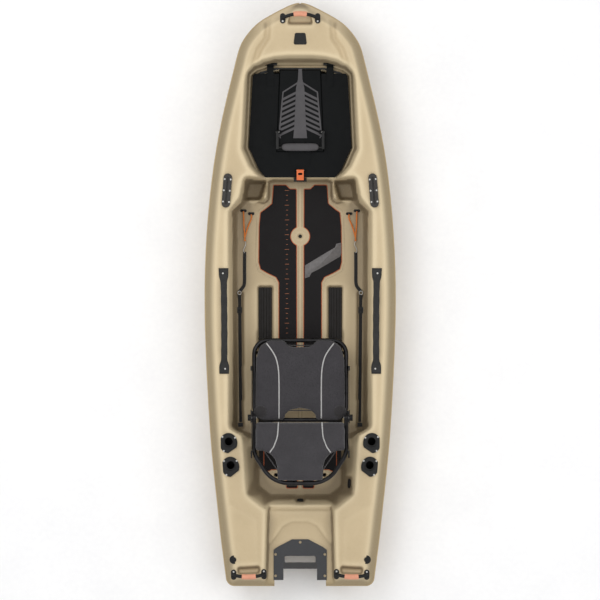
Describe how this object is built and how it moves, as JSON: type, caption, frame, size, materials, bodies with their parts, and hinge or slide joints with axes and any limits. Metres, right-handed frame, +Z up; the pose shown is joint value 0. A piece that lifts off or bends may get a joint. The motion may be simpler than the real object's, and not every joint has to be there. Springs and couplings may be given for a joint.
{
  "type": "kayak",
  "caption": "Wide sit-on-top fishing kayak with a hinged bow hatch, a folding framed seat on floor rails, rod holders and a stern motor bracket.",
  "frame": {"origin": "middle of the hull's length and beam, on the keel plane", "axes": "+Y towards the bow, +X to starboard, +Z up"},
  "size_m": [0.9784, 2.9991, 0.579],
  "materials": {
    "hull_plastic": "fine speckle",
    "hatch_plastic": "satin",
    "grey_plastic": "satin",
    "dark_plastic": "satin",
    "rubber": "matt",
    "orange_rubber": "matt",
    "salmon_rubber": "matt",
    "mat_foam": "embossed",
    "webbing": "woven",
    "bungee_cord": "woven",
    "seat_fabric": "mesh weave",
    "anodised": "anodised",
    "steel": "satin",
    "board": "satin"
  },
  "bodies": {
    "hull": {"aft_mat_bases": "orange_rubber", "aft_mat_tops": "mat_foam", "aft_pad_bases": "orange_rubber", "aft_pad_tops": "mat_foam", "badge_plate": "dark_plastic", "bow_grip": "salmon_rubber", "bow_handle": "dark_plastic", "bungees": "bungee_cord", "cable_grommet": "rubber", "carry_straps": "rubber", "deck_bow": "hull_plastic", "deck_port": "hull_plastic", "deck_screws": "steel", "deck_starboard": "hull_plastic", "deck_stern": "hull_plastic", "gear_track_port": "dark_plastic", "gear_track_starboard": "dark_plastic", "hatch_gasket": "rubber", "hinge_blocks": "grey_plastic", "hinge_pins": "steel", "hull_shell": "hull_plastic", "latch_keeper": "dark_plastic", "mat_bases": "orange_rubber", "mat_tops": "mat_foam", "motor_bracket": "anodised", "plug_bushes": "dark_plastic", "rod_holder_aft_port": "dark_plastic", "rod_holder_aft_starboard": "dark_plastic", "rod_holder_fore_port": "dark_plastic", "rod_holder_fore_starboard": "dark_plastic", "seat_rails": "anodised", "stern_grips": "salmon_rubber", "stern_handles": "dark_plastic", "strap_hooks": "steel", "tie_padeyes": "dark_plastic", "tie_rings": "steel", "tie_sliders": "dark_plastic", "tie_webs": "webbing", "transom_board": "board", "wall_grommet": "rubber", "web_anchors": "dark_plastic"},
    "hatch": {"hatch_lid": "hatch_plastic", "hatch_grille": "grey_plastic", "bail_pins": "steel", "latch_pin": "steel"},
    "hatch_handle": {"hatch_bail": "dark_plastic", "bail_grip": "grey_plastic"},
    "hatch_latch": {"latch_pull": "orange_rubber"},
    "seat": {"seat_frame": "anodised", "pan_pad": "seat_fabric", "seat_pins": "steel", "recline_straps": "webbing", "pan_buckles": "dark_plastic"},
    "seat_back": {"back_frame": "anodised", "back_pad": "seat_fabric", "back_buckles": "dark_plastic"},
    "knob_port": {"recline_knob_port": "dark_plastic"},
    "knob_starboard": {"recline_knob_starboard": "dark_plastic"},
    "plug_port": {"drain_plug_port": "dark_plastic"},
    "plug_starboard": {"drain_plug_starboard": "dark_plastic"}
  },
  "joints": [
    {"name": "hatch_swing", "type": "hinge", "parent": "hull", "child": "hatch", "pos_m": [0, 1.188, 0.251], "axis": [-1, 0, 0], "range_deg": [0, 100]},
    {"name": "hatch_handle_swing", "type": "hinge", "parent": "hatch", "child": "hatch_handle", "pos_m": [0, 0.838, 0.265], "axis": [-1, 0, 0], "range_deg": [0, 95]},
    {"name": "latch_swing", "type": "hinge", "parent": "hatch", "child": "hatch_latch", "pos_m": [0, 0.64, 0.248], "axis": [-1, 0, 0], "range_deg": [0, 110]},
    {"name": "seat_slide", "type": "slide", "parent": "hull", "child": "seat", "axis": [0, 1, 0], "range_m": [-0.03, 0.2]},
    {"name": "seat_back_fold", "type": "hinge", "parent": "seat", "child": "seat_back", "pos_m": [0, -0.634, 0.34], "axis": [-1, 0, 0], "range_deg": [-12, 140]},
    {"name": "knob_turn_port", "type": "hinge", "parent": "seat", "child": "knob_port", "pos_m": [-0.263, -0.634, 0.34], "axis": [-1, 0, 0], "continuous": true},
    {"name": "knob_turn_starboard", "type": "hinge", "parent": "seat", "child": "knob_starboard", "pos_m": [0.263, -0.634, 0.34], "axis": [1, 0, 0], "continuous": true},
    {"name": "plug_turn_port", "type": "hinge", "parent": "hull", "child": "plug_port", "pos_m": [-0.34225, -1.366, 0.301], "axis": [0, -0.0227, 0.9997], "continuous": true},
    {"name": "plug_turn_starboard", "type": "hinge", "parent": "hull", "child": "plug_starboard", "pos_m": [0.34225, -1.366, 0.301], "axis": [0, -0.0227, 0.9997], "continuous": true}
  ]
}
